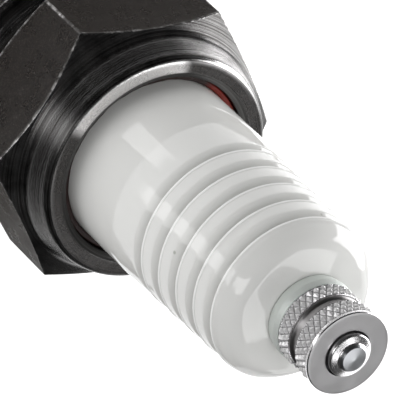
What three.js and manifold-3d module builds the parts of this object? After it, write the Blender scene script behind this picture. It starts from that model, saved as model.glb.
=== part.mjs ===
// A short-bodied 14 mm spark plug, modelled piece by piece as it would come apart on a bench.
// Millimetres. +Z runs along the plug's axis towards the terminal, and the origin is on the axis
// at the underside of the outer gasket, which is the face that seals against the cylinder head.
import * as THREE from "three";
import { mergeVertices } from "three/addons/utils/BufferGeometryUtils.js";
import Module from "manifold-3d";

const wasm = await Module();
wasm.setup();

// ---------------------------------------------------------------- driving dimensions

const SEGMENTS = 36; // round every turned piece, a multiple of six so that hex corners land on a vertex
const TOUCH = 0.03; // gap left between faces that touch
const SIXTH_TURN = Math.PI / 3;
const HALF = 0.5;

const GASKET = { innerRadius: 7.15, outerRadius: 9.6, height: 1.8, edgeRound: 0.45, foldDepth: 1.3, foldGap: 0.3 };

const THREAD = { majorRadius: 6.95, minorRadius: 6.2, pitch: 1.25, end: -12.7, start: -1.4, endChamfer: 0.7 };
const THREAD_FORM = { rowsPerPitch: 6, crestShare: 0.18, rootShare: 0.2 };

const NECK_RADIUS = 6.15; // relief between the thread and the flange
const FLANGE = { radius: 9.7, bottom: GASKET.height + TOUCH, top: 4.3, edge: 0.35 };
const CRIMP_GROOVE = { radius: 8.3, fillet: 0.5 };
const HEX = { acrossFlats: 19.05, flatBottom: 7.05, flatTop: 13.6, chamferDegrees: 30 };
const LIP = { rootRadius: 9.1, wallRadius: 8.5, wallBottom: 14.9, outerRound: 0.4, crestInner: 7.43, crest: 16.25 };
const LIP_EYE = { radius: 6.92, top: 15.95, bottom: 15.05 };
const CAVITY = { radius: 7.4, top: 14.7, bottom: 4.6 };
const SHELL_BORE = { radius: 5.5, top: 2.5, ledge: -4.9, ledgeRadius: 4.45, ledgeEnd: -6.4, mouthRadius: 4.75 };

const BARREL_RADIUS = 6.45;
const BELT = { radius: 7.3, bottom: 5.0, lowerCone: 2.6, top: 8.8, upperCone: 9.8 };
const CORE_RADIUS = 5.35; // the insulator's body inside the threaded part
const FIRING_NOSE = { step: -4.4, stepRound: 0.3, rootRadius: 4.1, rootEnd: -5.6, tipRadius: 2.45, tip: -13.6, round: 0.35 };
const RIBS = { count: 5, top: 33.6, pitch: 2.15, firstRadius: 5.98, lastRadius: 6.27, depth: 0.35, edge: 0.12, run: 0.9 };
const TERMINAL_NOSE = { cylinderTop: 34.0, faceRadius: 5.0, faceEdge: 35.2, flatRadius: 3.0, flat: 35.82 };
const BARREL_TOP = 21.3; // where the straight barrel starts to taper towards the ribs
const INSULATOR_BORE = { radius: 2.0, ledge: -2.9, electrodeRadius: 1.3 };

const ELECTRODE = { shaftRadius: 1.25, tip: -15.2, headRadius: 1.9, headTop: -1.6, coreBore: 0.66, coreBoreEnd: -14.0 };
const COPPER_RADIUS = 0.62;
const FILL_RADIUS = 1.93; // glass seals and resistor, fused into the insulator's bore
const LOWER_GLASS_TOP = 2.0;
const RESISTOR_TOP = 10.6;
const UPPER_GLASS_TOP = 14.4;

const STUD = { gripRadius: 1.9, gripEnd: 20.0, shankRadius: 1.75, threadRadius: 1.68, threadTop: 40.7 };
const STUD_GRIP = { grooves: 4, depth: 0.25 };
const COLLAR = { bottom: 35.88, top: 37.2, baseRadius: 2.95, radius: 3.1, edge: 0.08 };
const STUD_TIP = { shoulderRadius: 1.52, shoulder: 41.45, nubRadius: 0.85, nub: 41.75, top: 42.0 };

const NUT = { radius: 3.1, boreRadius: 1.72, bottom: COLLAR.top + TOUCH, top: 41.1, bevel: 0.08 };
const NUT_GROOVE = { radius: 2.72, bottom: 38.44, top: 39.31, corner: 0.15 };

const PACKING = { inner: 6.5, outer: 7.35 };
const WIRE_RING = { radius: 6.92, wire: 0.4, sides: 8, lower: 10.2, upper: 14.1 };
const SEAT_WASHER = { inner: 4.55, outer: 5.4, bottom: SHELL_BORE.ledge + TOUCH, top: FIRING_NOSE.step - TOUCH };
const LIP_SEAL = { inner: 6.49, outer: 6.87, bottom: 15.0, top: 15.75 };

const STRAP = { thickness: 1.2, width: 2.6, outerX: 6.2, top: THREAD.end - TOUCH, bend: 1.0, farX: -1.3, sparkGap: 0.8 };

// ---------------------------------------------------------------- making and joining solids

// A surface of revolution about Z from [radius, height] points.
function lathe(points) {
  const profile = points.map(([radius, height]) => new THREE.Vector2(radius, height));
  return new THREE.LatheGeometry(profile, SEGMENTS).rotateX(Math.PI / 2);
}

// The same from a profile that closes on itself, for a piece with a hole through it.
function latheRing(points) {
  return lathe([...points, points[0]]);
}

// Points on an arc, with the end angles in degrees measured from the outward radial direction.
function arc(radius, height, bend, fromDegrees, toDegrees, steps) {
  return Array.from({ length: steps + 1 }, (_, i) => {
    const angle = THREE.MathUtils.degToRad(THREE.MathUtils.lerp(fromDegrees, toDegrees, i / steps));
    return [radius + bend * Math.cos(angle), height + bend * Math.sin(angle)];
  });
}

function toSolid(geometry) {
  const bare = geometry.clone();
  bare.deleteAttribute("normal");
  bare.deleteAttribute("uv");
  const merged = mergeVertices(bare, 1e-4);
  const vertProperties = new Float32Array(merged.attributes.position.array);
  const triVerts = new Uint32Array(merged.index.array);
  return new wasm.Manifold(new wasm.Mesh({ numProp: 3, vertProperties, triVerts }));
}

function toGeometry(solid) {
  const { vertProperties, triVerts } = solid.getMesh();
  const geometry = new THREE.BufferGeometry();
  geometry.setAttribute("position", new THREE.BufferAttribute(vertProperties, 3));
  geometry.setIndex(new THREE.BufferAttribute(triVerts, 1));
  geometry.computeVertexNormals();
  return geometry;
}

// ---------------------------------------------------------------- the steel shell

// Height of the hexagon's chamfer cone above its level at the flats, zero there and negative at the corners.
function chamferRise(radius) {
  const slope = Math.tan(THREE.MathUtils.degToRad(HEX.chamferDegrees));
  return (HEX.acrossFlats * HALF - radius) * slope;
}

// The wrench hexagon, with two flats square to X, turned to a cone at both ends.
function hexagon() {
  const cornerRadius = (HEX.acrossFlats * HALF) / Math.cos(SIXTH_TURN * HALF);
  const outline = new THREE.Shape(
    Array.from({ length: 6 }, (_, i) => {
      const angle = (i + HALF) * SIXTH_TURN;
      return new THREE.Vector2(cornerRadius * Math.cos(angle), cornerRadius * Math.sin(angle));
    }),
  );
  const reach = cornerRadius + 1;
  const core = CRIMP_GROOVE.radius - 1;
  const prism = new THREE.ExtrudeGeometry(outline, { depth: HEX.flatTop - HEX.flatBottom + 2, bevelEnabled: false });
  prism.translate(0, 0, HEX.flatBottom - 1);
  const cones = lathe([
    [0, HEX.flatBottom - chamferRise(core)],
    [core, HEX.flatBottom - chamferRise(core)],
    [reach, HEX.flatBottom - chamferRise(reach)],
    [reach, HEX.flatTop + chamferRise(reach)],
    [core, HEX.flatTop + chamferRise(core)],
    [0, HEX.flatTop + chamferRise(core)],
  ]);
  return toSolid(prism).intersect(toSolid(cones));
}

// Thread height as a share of full depth, where phase runs from 0 to 1 over one pitch.
function threadForm(phase) {
  const { crestShare, rootShare } = THREAD_FORM;
  const flank = (1 - crestShare - rootShare) * HALF;
  const fromCrest = Math.abs(phase - HALF) - crestShare * HALF;
  return 1 - THREE.MathUtils.clamp(fromCrest / flank, 0, 1);
}

// The right-hand thread: a cylinder whose wall follows the helix, trimmed to the chamfered blank.
function thread() {
  const rows = Math.ceil((THREAD.start - THREAD.end) / THREAD.pitch) * THREAD_FORM.rowsPerPitch;
  const length = (rows * THREAD.pitch) / THREAD_FORM.rowsPerPitch;
  const rod = new THREE.CylinderGeometry(1, 1, length, SEGMENTS, rows).rotateX(Math.PI / 2);
  rod.translate(0, 0, THREAD.start - length * HALF);
  const position = rod.attributes.position;
  for (let i = 0; i < position.count; i++) {
    const x = position.getX(i);
    const y = position.getY(i);
    const turn = Math.atan2(y, x) / (2 * Math.PI);
    const phase = THREE.MathUtils.euclideanModulo(position.getZ(i) / THREAD.pitch - turn, 1);
    const radius = THREE.MathUtils.lerp(THREAD.minorRadius, THREAD.majorRadius, threadForm(phase));
    position.setX(i, x * radius);
    position.setY(i, y * radius);
  }
  const blank = lathe([
    [0, THREAD.end],
    [THREAD.majorRadius - THREAD.endChamfer, THREAD.end],
    [THREAD.majorRadius, THREAD.end + THREAD.endChamfer],
    [THREAD.majorRadius, THREAD.start - THREAD.endChamfer],
    [THREAD.majorRadius - THREAD.endChamfer, THREAD.start],
    [0, THREAD.start],
  ]);
  return toSolid(rod).intersect(toSolid(blank));
}

// Everything turned on the outside of the shell: neck, flange, crimp groove and rolled lip.
function shellOutside() {
  return lathe([
    [0, THREAD.start - 1],
    [NECK_RADIUS, THREAD.start - 1],
    [NECK_RADIUS, FLANGE.bottom],
    [FLANGE.radius - FLANGE.edge, FLANGE.bottom],
    [FLANGE.radius, FLANGE.bottom + FLANGE.edge],
    [FLANGE.radius, FLANGE.top - FLANGE.edge],
    [FLANGE.radius - FLANGE.edge, FLANGE.top],
    [CRIMP_GROOVE.radius + CRIMP_GROOVE.fillet, FLANGE.top],
    [CRIMP_GROOVE.radius, FLANGE.top + CRIMP_GROOVE.fillet],
    [CRIMP_GROOVE.radius, HEX.flatTop],
    [LIP.rootRadius, HEX.flatTop + chamferRise(LIP.rootRadius)],
    [LIP.wallRadius, LIP.wallBottom],
    ...arc(LIP.wallRadius - LIP.outerRound, LIP.crest - LIP.outerRound, LIP.outerRound, 0, 90, 3),
    [LIP.crestInner, LIP.crest],
    [LIP_EYE.radius, LIP_EYE.top],
    [0, LIP_EYE.top],
  ]);
}

// The stepped hole through the shell, running past both ends.
function shellBore() {
  return lathe([
    [0, THREAD.end - 1],
    [SHELL_BORE.mouthRadius, THREAD.end - 1],
    [SHELL_BORE.mouthRadius, SHELL_BORE.ledgeEnd - TOUCH],
    [SHELL_BORE.ledgeRadius, SHELL_BORE.ledgeEnd],
    [SHELL_BORE.ledgeRadius, SHELL_BORE.ledge],
    [SHELL_BORE.radius, SHELL_BORE.ledge],
    [SHELL_BORE.radius, SHELL_BORE.top],
    [CAVITY.radius, CAVITY.bottom],
    [CAVITY.radius, CAVITY.top],
    [LIP_EYE.radius, LIP_EYE.bottom],
    [LIP_EYE.radius, LIP.crest + 1],
    [0, LIP.crest + 1],
  ]);
}

function shell() {
  const outside = toSolid(shellOutside()).add(hexagon()).add(thread());
  return toGeometry(outside.subtract(toSolid(shellBore())));
}

// ---------------------------------------------------------------- the ceramic insulator

// The barrel's outline from the last rib's groove up to the first rib, lowest point first.
function ribOutline() {
  const points = [];
  for (let rib = RIBS.count - 1; rib >= 0; rib--) {
    const edge = RIBS.top - rib * RIBS.pitch;
    const radius = THREE.MathUtils.lerp(RIBS.firstRadius, RIBS.lastRadius, rib / (RIBS.count - 1));
    points.push([radius + RIBS.edge * HALF, edge - RIBS.run]);
    points.push([radius - RIBS.depth, edge - RIBS.run * HALF]);
    points.push([radius - RIBS.depth, edge - 2 * RIBS.edge]);
    points.push([radius, edge]);
  }
  return points;
}

function insulator() {
  const nose = FIRING_NOSE;
  const end = TERMINAL_NOSE;
  return latheRing([
    [INSULATOR_BORE.electrodeRadius, nose.tip],
    [nose.tipRadius - nose.round, nose.tip],
    [nose.tipRadius, nose.tip + nose.round],
    [nose.rootRadius, nose.rootEnd],
    [nose.rootRadius, nose.step],
    [CORE_RADIUS - nose.stepRound, nose.step],
    [CORE_RADIUS, nose.step + nose.stepRound],
    [CORE_RADIUS, BELT.lowerCone],
    [BELT.radius, BELT.bottom],
    [BELT.radius, BELT.top],
    [BARREL_RADIUS, BELT.upperCone],
    [BARREL_RADIUS, BARREL_TOP],
    ...ribOutline(),
    [RIBS.firstRadius - RIBS.edge * HALF, end.cylinderTop],
    [RIBS.firstRadius - RIBS.depth, (end.cylinderTop + end.faceEdge) * HALF],
    [end.faceRadius, end.faceEdge],
    [end.flatRadius, end.flat],
    [INSULATOR_BORE.radius, end.flat],
    [INSULATOR_BORE.radius, INSULATOR_BORE.ledge],
    [INSULATOR_BORE.electrodeRadius, INSULATOR_BORE.ledge],
  ]);
}

// ---------------------------------------------------------------- the current path

// A plain cylinder from one height to another.
function disc(radius, bottom, top) {
  return lathe([
    [0, bottom],
    [radius, bottom],
    [radius, top],
    [0, top],
  ]);
}

// The nickel sheath, with a headed upper end and a blind hole for the copper core.
function centreElectrode() {
  const headBottom = INSULATOR_BORE.ledge + TOUCH;
  return lathe([
    [0, ELECTRODE.tip],
    [ELECTRODE.shaftRadius, ELECTRODE.tip],
    [ELECTRODE.shaftRadius, headBottom],
    [ELECTRODE.headRadius, headBottom],
    [ELECTRODE.headRadius, ELECTRODE.headTop],
    [ELECTRODE.coreBore, ELECTRODE.headTop],
    [ELECTRODE.coreBore, ELECTRODE.coreBoreEnd],
    [0, ELECTRODE.coreBoreEnd],
  ]);
}

// The stud's lower end is grooved all round, so that the glass grips it.
function gripOutline() {
  const step = (STUD.gripEnd - UPPER_GLASS_TOP - TOUCH) / STUD_GRIP.grooves;
  const points = [];
  for (let i = 0; i < STUD_GRIP.grooves; i++) {
    const bottom = UPPER_GLASS_TOP + TOUCH + i * step;
    points.push([STUD.gripRadius - STUD_GRIP.depth, bottom]);
    points.push([STUD.gripRadius, bottom + step * HALF]);
  }
  return points;
}

function terminalStud() {
  return lathe([
    [0, UPPER_GLASS_TOP + TOUCH],
    ...gripOutline(),
    [STUD.shankRadius, STUD.gripEnd],
    [STUD.shankRadius, COLLAR.bottom],
    [COLLAR.baseRadius, COLLAR.bottom],
    [COLLAR.radius, COLLAR.top - COLLAR.edge],
    [COLLAR.radius - COLLAR.edge, COLLAR.top],
    [STUD.threadRadius, COLLAR.top],
    [STUD.threadRadius, STUD.threadTop],
    [STUD_TIP.shoulderRadius, STUD_TIP.shoulder],
    [STUD_TIP.nubRadius, STUD_TIP.nub],
    [0, STUD_TIP.top],
  ]);
}

// Two bands, knurled on the real piece, on either side of a groove for the cap's spring clip.
function terminalNut() {
  const groove = NUT_GROOVE;
  return latheRing([
    [NUT.boreRadius, NUT.bottom],
    [NUT.radius - groove.corner, NUT.bottom],
    [NUT.radius, NUT.bottom + groove.corner],
    [NUT.radius, groove.bottom],
    [groove.radius, groove.bottom + groove.corner],
    [groove.radius, groove.top - groove.corner],
    [NUT.radius, groove.top],
    [NUT.radius, NUT.top - NUT.bevel],
    [NUT.radius - NUT.bevel, NUT.top],
    [NUT.boreRadius, NUT.top],
  ]);
}

// The ground electrode, a flat nickel strap bent under the centre electrode: drawn edge-on, then given its width.
function groundElectrode() {
  const gapFace = ELECTRODE.tip - STRAP.sparkGap;
  const under = gapFace - STRAP.thickness;
  const outerBend = STRAP.bend + STRAP.thickness;
  const bendX = STRAP.outerX - outerBend;
  const bendZ = under + outerBend;
  const outline = new THREE.Shape();
  outline.moveTo(STRAP.outerX, STRAP.top);
  outline.lineTo(STRAP.outerX - STRAP.thickness, STRAP.top);
  outline.lineTo(STRAP.outerX - STRAP.thickness, bendZ);
  outline.absarc(bendX, bendZ, STRAP.bend, 0, -Math.PI / 2, true);
  outline.lineTo(STRAP.farX, gapFace);
  outline.lineTo(STRAP.farX, under);
  outline.lineTo(bendX, under);
  outline.absarc(bendX, bendZ, outerBend, -Math.PI / 2, 0, false);
  const strap = new THREE.ExtrudeGeometry(outline, { depth: STRAP.width, bevelEnabled: false, curveSegments: 6 });
  return strap.translate(0, 0, -STRAP.width * HALF).rotateX(Math.PI / 2);
}

// ---------------------------------------------------------------- seals and packing

// A flat ring of rectangular section.
function flatRing(innerRadius, outerRadius, bottom, top) {
  return latheRing([
    [innerRadius, bottom],
    [outerRadius, bottom],
    [outerRadius, top],
    [innerRadius, top],
  ]);
}

// A ring of round wire in the groove between the insulator and the shell.
function wireRing(height) {
  const turn = arc(WIRE_RING.radius, height, WIRE_RING.wire, 0, 360, WIRE_RING.sides);
  return latheRing(turn.slice(0, -1));
}

// The crush gasket: sheet steel folded over on itself, so its section is open towards the thread.
function gasket() {
  const g = GASKET;
  const middle = g.height * HALF;
  return latheRing([
    [g.innerRadius + g.edgeRound, 0],
    [g.outerRadius - g.edgeRound, 0],
    [g.outerRadius, g.edgeRound],
    [g.outerRadius, g.height - g.edgeRound],
    [g.outerRadius - g.edgeRound, g.height],
    [g.innerRadius + g.edgeRound, g.height],
    [g.innerRadius, g.height - g.edgeRound],
    [g.innerRadius, middle + g.foldGap * HALF],
    [g.innerRadius + g.foldDepth, middle + g.foldGap * HALF],
    [g.innerRadius + g.foldDepth, middle - g.foldGap * HALF],
    [g.innerRadius, middle - g.foldGap * HALF],
    [g.innerRadius, g.edgeRound],
  ]);
}

// ---------------------------------------------------------------- materials and assembly

function material(color, roughness, metalness) {
  return new THREE.MeshStandardMaterial({ color, roughness, metalness });
}

const blackenedSteel = material(0x2b2929, 0.35, 0.9);
const platedSteel = material(0xb9bab8, 0.25, 1.0);
const softSteel = material(0x8f8f8a, 0.4, 1.0);
const nickel = material(0xa7a39b, 0.35, 1.0);
const copper = material(0xb87346, 0.35, 1.0);
const ceramic = material(0xd8d6ce, 0.15, 0.0);
const glass = material(0x3d4038, 0.3, 0.0);
const carbon = material(0x232323, 0.7, 0.0);
const talc = material(0xe2dfd3, 0.9, 0.0);
const redSeal = material(0x8a2a1a, 0.6, 0.0);

const plug = new THREE.Group();

function addPiece(name, geometry, itsMaterial) {
  const mesh = new THREE.Mesh(geometry, itsMaterial);
  mesh.name = name;
  plug.add(mesh);
}

addPiece("shell", shell(), blackenedSteel);
addPiece("ground_electrode", groundElectrode(), nickel);
addPiece("outer_gasket", gasket(), softSteel);

const { inner: packingInner, outer: packingOuter } = PACKING;
const talcBottom = WIRE_RING.lower + WIRE_RING.wire + TOUCH;
const talcTop = WIRE_RING.upper - WIRE_RING.wire - TOUCH;
addPiece("seat_washer", flatRing(SEAT_WASHER.inner, SEAT_WASHER.outer, SEAT_WASHER.bottom, SEAT_WASHER.top), copper);
addPiece("lower_packing_ring", wireRing(WIRE_RING.lower), softSteel);
addPiece("talc_packing", flatRing(packingInner, packingOuter, talcBottom, talcTop), talc);
addPiece("upper_packing_ring", wireRing(WIRE_RING.upper), softSteel);
addPiece("lip_seal", flatRing(LIP_SEAL.inner, LIP_SEAL.outer, LIP_SEAL.bottom, LIP_SEAL.top), redSeal);

addPiece("insulator", insulator(), ceramic);
addPiece("centre_electrode", centreElectrode(), nickel);
addPiece("copper_core", disc(COPPER_RADIUS, ELECTRODE.coreBoreEnd + TOUCH, ELECTRODE.headTop), copper);
addPiece("lower_glass_seal", disc(FILL_RADIUS, ELECTRODE.headTop + TOUCH, LOWER_GLASS_TOP), glass);
addPiece("resistor", disc(FILL_RADIUS, LOWER_GLASS_TOP + TOUCH, RESISTOR_TOP), carbon);
addPiece("upper_glass_seal", disc(FILL_RADIUS, RESISTOR_TOP + TOUCH, UPPER_GLASS_TOP), glass);
addPiece("terminal_stud", terminalStud(), platedSteel);
addPiece("terminal_nut", terminalNut(), platedSteel);

export default plug;
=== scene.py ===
"""The looks of a short 14 mm spark plug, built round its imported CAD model.

Every turned piece is a section, drawn in millimetres as corners of radius and height and swept round the
plug's axis. Where a piece isn't round, at the wrench flats, the threads and the knurl, its section changes
from column to column. +Z runs towards the terminal.
"""

import math
from collections import namedtuple

import bpy
import numpy as np
from mathutils import Matrix, Vector


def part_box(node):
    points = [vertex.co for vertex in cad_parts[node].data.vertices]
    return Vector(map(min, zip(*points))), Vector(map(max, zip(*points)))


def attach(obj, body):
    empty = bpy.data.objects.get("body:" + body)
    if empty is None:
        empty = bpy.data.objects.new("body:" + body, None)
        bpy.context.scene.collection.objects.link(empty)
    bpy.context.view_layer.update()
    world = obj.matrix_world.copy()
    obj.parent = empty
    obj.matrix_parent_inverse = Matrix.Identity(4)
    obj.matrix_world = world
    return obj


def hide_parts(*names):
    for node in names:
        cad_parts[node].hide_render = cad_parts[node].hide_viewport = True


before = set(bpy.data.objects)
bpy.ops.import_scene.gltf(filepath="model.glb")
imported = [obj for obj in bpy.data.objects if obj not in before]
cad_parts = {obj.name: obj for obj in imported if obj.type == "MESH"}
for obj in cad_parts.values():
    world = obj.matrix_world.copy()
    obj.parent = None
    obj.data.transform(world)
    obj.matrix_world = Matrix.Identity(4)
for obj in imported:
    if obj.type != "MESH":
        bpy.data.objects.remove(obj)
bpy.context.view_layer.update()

MM = 0.001
FULL_TURN = 2 * math.pi
SIXTH_TURN = FULL_TURN / 6
QUARTER_TURN = FULL_TURN / 4

# ---------------------------------------------------------------- the view

VIEW_AZIMUTH = math.radians(15.8)
VIEW_ELEVATION = math.radians(45.32)
VIEW_ROLL = math.radians(133.97)
VIEW_DISTANCE = 405 * MM
VIEW_AIM = Vector((-0.48, -0.14, 21.35)) * MM
LENS = 540  # millimetres


def direction(azimuth, elevation):
    """The unit vector towards an azimuth, counted from -Y towards +X, and an elevation."""
    level = math.cos(elevation)
    return Vector((math.sin(azimuth) * level, -math.cos(azimuth) * level, math.sin(elevation)))


def add_camera():
    back = direction(VIEW_AZIMUTH, VIEW_ELEVATION)
    level_right = Vector((math.cos(VIEW_AZIMUTH), math.sin(VIEW_AZIMUTH), 0))
    level_up = back.cross(level_right)
    right = level_right * math.cos(VIEW_ROLL) + level_up * math.sin(VIEW_ROLL)
    turn = Matrix((right, back.cross(right), back)).transposed()
    data = bpy.data.cameras.new("camera")
    data.lens = LENS
    camera = bpy.data.objects.new("camera", data)
    camera.matrix_world = Matrix.Translation(VIEW_AIM + back * VIEW_DISTANCE) @ turn.to_4x4()
    bpy.context.scene.collection.objects.link(camera)
    bpy.context.scene.camera = camera


# ---------------------------------------------------------------- sizes read from the frame, in millimetres

Extent = namedtuple("Extent", "radius bottom top")


def extent(node):
    """A turned node's outer radius and its lowest and highest level."""
    low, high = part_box(node)
    return Extent(max(high.x, high.y) / MM, low.z / MM, high.z / MM)


SHELL = extent("shell")
INSULATOR = extent("insulator")
STUD = extent("terminal_stud")
NUT = extent("terminal_nut")
GASKET = extent("outer_gasket")
SEAL = extent("lip_seal")
ELECTRODE = extent("centre_electrode")
STRAP_LOW, STRAP_HIGH = (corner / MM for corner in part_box("ground_electrode"))

# ---------------------------------------------------------------- sections and meshes

# A corner of a section: where it is, the radius that rounds it off, and the rows up to the next corner.
Corner = namedtuple("Corner", "radius height round rows", defaults=(0.0, 1))
ROUND_ROWS = 6
TINY = 1e-6
HAIR = 0.01  # for telling whether a row lies on a level or a radius
THREAD_RUNOUT = 0.1  # between a thread's end and plain metal


def towards(start, end):
    """The unit vector from one point of a section to another, for every column."""
    step = end - start
    return step / np.maximum(np.linalg.norm(step, axis=0), TINY)


def rounded_corner(before, corner, after, round_radius):
    """Points on the arc that rounds a corner off, each a pair of radius and height for every column."""
    back, ahead = towards(corner, before), towards(corner, after)
    half_angle = np.arccos(np.clip((back * ahead).sum(axis=0), -1, 1)) / 2
    reach = round_radius / np.tan(half_angle)
    pull = np.sin(half_angle)
    start, end = corner + back * reach, corner + ahead * reach
    points = []
    for share in np.linspace(0, 1, ROUND_ROWS + 1):
        at_start, at_corner, at_end = (1 - share) ** 2, 2 * share * (1 - share) * pull, share ** 2
        blend = start * at_start + corner * at_corner + end * at_end
        points.append(blend / (at_start + at_corner + at_end))
    return points


def trace(corners, closed, columns=1):
    """The rows of a section as (rows, radius or height, columns), and the corner that each row belongs to.

    A corner's radius and height may differ from column to column, and its rows are the straight steps to
    the next corner, which belong to neither and have -1. The outer side runs upwards.
    """
    places = [
        np.stack([np.broadcast_to(corner.radius, columns), np.broadcast_to(corner.height, columns)])
        for corner in corners
    ]
    arcs = []
    for i, corner in enumerate(corners):
        at_end = not closed and i in (0, len(corners) - 1)
        if at_end or corner.round == 0:
            arcs.append([places[i]])
        else:
            following = places[(i + 1) % len(corners)]
            arcs.append(rounded_corner(places[i - 1], places[i], following, corner.round))
    rows, owners = [], []
    for i, arc in enumerate(arcs):
        rows += arc
        owners += [i] * len(arc)
        if i == len(arcs) - 1 and not closed:
            break
        following = arcs[(i + 1) % len(arcs)][0]
        for share in np.linspace(0, 1, corners[i].rows + 1)[1:-1]:
            rows.append(arc[-1] + (following - arc[-1]) * share)
            owners.append(-1)
    return np.array(rows), np.array(owners)


def full_circle(columns):
    return np.linspace(0, FULL_TURN, columns, endpoint=False)


def mesh_piece(name, points, faces, masks=()):
    """A smooth-shaded object from points in millimetres, with a named number for each point in masks."""
    mesh = bpy.data.meshes.new(name)
    mesh.from_pydata((points * MM).tolist(), [], faces)
    mesh.shade_smooth()
    for mask, values in dict(masks).items():
        layer = mesh.attributes.new(mask, "FLOAT", "POINT")
        layer.data.foreach_set("value", np.asarray(values, dtype=np.float32))
    piece = bpy.data.objects.new(name, mesh)
    bpy.context.scene.collection.objects.link(piece)
    return piece


def turned_piece(name, rows, angles, closed, masks=()):
    """Sweeps rows of radius and height round the axis. An end row on the axis becomes one point."""
    starts_on_axis = not closed and np.all(rows[0, 0] < TINY)
    ends_on_axis = not closed and np.all(rows[-1, 0] < TINY)
    off_axis = slice(1 if starts_on_axis else 0, -1 if ends_on_axis else None)

    def every_column(values):
        return np.broadcast_to(values, (len(rows), len(angles)))[off_axis]

    radius, height = every_column(rows[:, 0]), every_column(rows[:, 1])
    points = np.stack([radius * np.cos(angles), radius * np.sin(angles), height], axis=-1).reshape(-1, 3)
    index = np.arange(len(points)).reshape(radius.shape)
    lower, upper = index, np.roll(index, -1, axis=0)
    if not closed:
        lower, upper = index[:-1], index[1:]
    quads = np.stack([lower, np.roll(lower, -1, axis=1), np.roll(upper, -1, axis=1), upper], axis=-1)
    faces = quads.reshape(-1, 4).tolist()
    values = {mask: every_column(value).ravel() for mask, value in dict(masks).items()}
    caps = []
    if starts_on_axis:
        caps.append((rows[0, 1, 0], index[0][::-1]))
    if ends_on_axis:
        caps.append((rows[-1, 1, 0], index[-1]))
    for level, ring in caps:
        tip = len(points)
        points = np.vstack([points, [0, 0, level]])
        values = {mask: np.append(value, value[ring[0]]) for mask, value in values.items()}
        faces += [(tip, int(a), int(b)) for a, b in zip(ring, np.roll(ring, -1))]
    return mesh_piece(name, points, faces, values)


def finish_piece(piece, body, node, material):
    """Gives a piece its material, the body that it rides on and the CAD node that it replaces."""
    piece.data.materials.append(material)
    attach(piece, body)
    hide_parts(node)


def spread(values, columns):
    """Rows of radius and height widened from one column to many."""
    return np.repeat(values, columns, axis=2)


def smooth_step(values, low, high):
    """0 below low, 1 above high, and a smooth rise between them."""
    share = np.clip((values - low) / (high - low), 0, 1)
    return share * share * (3 - 2 * share)


def within_arc(angles, middle, half_arc, fade):
    """1 along an arc round the axis, falling to 0 over a fade at each end."""
    from_middle = np.abs((angles - middle + math.pi) % FULL_TURN - math.pi)
    return 1 - smooth_step(from_middle, half_arc - fade, half_arc)


# ---------------------------------------------------------------- the steel shell

HEX_APOTHEM = 19.05 / 2
HEX_BOTTOM = 7.05
HEX_TOP = 13.6
HEX_CORNER_ROUND = 0.15
HEX_EDGE_ROUND = 0.07
CHAMFER_SLOPE = math.tan(math.radians(30))

THREAD_MAJOR = 6.95
THREAD_MINOR = 6.22
THREAD_PITCH = 1.25
THREAD_START = -1.4
THREAD_CHAMFER = 0.7
THREAD_CREST = 0.07  # half the flat crest, as a share of the pitch
THREAD_FLANK = 0.31  # each sloping side, as a share of the pitch

NECK_RADIUS = 6.15
FLANGE_RADIUS = 9.69
FLANGE_BOTTOM = 1.84
FLANGE_TOP = 4.3
GROOVE_RADIUS = 8.3
LIP_ROOT = 9.1
LIP_WALL = 8.5
LIP_CREST_INNER = 7.43
LIP_EYE = 6.92
LIP_EYE_ROLL = 0.32  # how far the crest rolls down into the eye
LIP_UNDERSIDE = 15.05

CAVITY_RADIUS = 7.4
CAVITY_TOP = 14.7
CAVITY_BOTTOM = 4.6
BORE_RADIUS = 5.5
BORE_TOP = 2.5
LEDGE_RADIUS = 4.45
LEDGE_TOP = -4.9
LEDGE_BOTTOM = -6.4
LEDGE_LEAN = 0.03
MOUTH_RADIUS = 4.75

CREST_SHEEN = 0.2  # the flat crest shines less than the other turned faces
# A painted highlight of bright steel along one arc of the lip's flat crest.
LIP_HIGHLIGHT_LEVELS = (SHELL.top - 0.1, SHELL.top - 2 * HAIR)  # where the painted highlight begins, and where it is full
LIP_HIGHLIGHT_RADII = (LIP_CREST_INNER - 0.12, LIP_CREST_INNER)
LIP_HIGHLIGHT_MIDDLE = math.radians(-94)
LIP_HIGHLIGHT_HALF_ARC = math.radians(38)
LIP_HIGHLIGHT_FADE = math.radians(8)
# A painted highlight of bright steel, in streaks, along one arc of the lip's wall.
WALL_HIGHLIGHT_LEVELS = (HEX_TOP + 0.15, HEX_TOP + 1.0)
WALL_HIGHLIGHT_RADII = (LIP_WALL - 0.45, LIP_WALL - 0.2)
WALL_HIGHLIGHT_MIDDLE = math.radians(-153)
WALL_HIGHLIGHT_HALF_ARC = math.radians(30)
WALL_HIGHLIGHT_FADE = math.radians(26)

EVEN_COLUMNS = 360
EVEN_COLUMN_GAP = math.radians(0.9)  # even columns keep this far from the hexagon's corners
FINE_COLUMNS = 13
FINE_HALF_ARC = math.radians(0.7)


def shell_angles():
    """Even columns, with more of them gathered at the hexagon's rounded corners."""
    even = full_circle(EVEN_COLUMNS)
    fine = np.linspace(-FINE_HALF_ARC, FINE_HALF_ARC, FINE_COLUMNS)
    corners = (np.arange(6) + 0.5) * SIXTH_TURN
    gap = np.abs((even[:, None] - corners[None, :] + math.pi) % FULL_TURN - math.pi).min(axis=1)
    return np.sort(np.concatenate([even[gap > EVEN_COLUMN_GAP], (corners[:, None] + fine).ravel()]))


def from_hexagon_corner(angles):
    """The angle between each column and the hexagon's nearest corner."""
    return np.abs(angles % SIXTH_TURN - SIXTH_TURN / 2)


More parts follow.
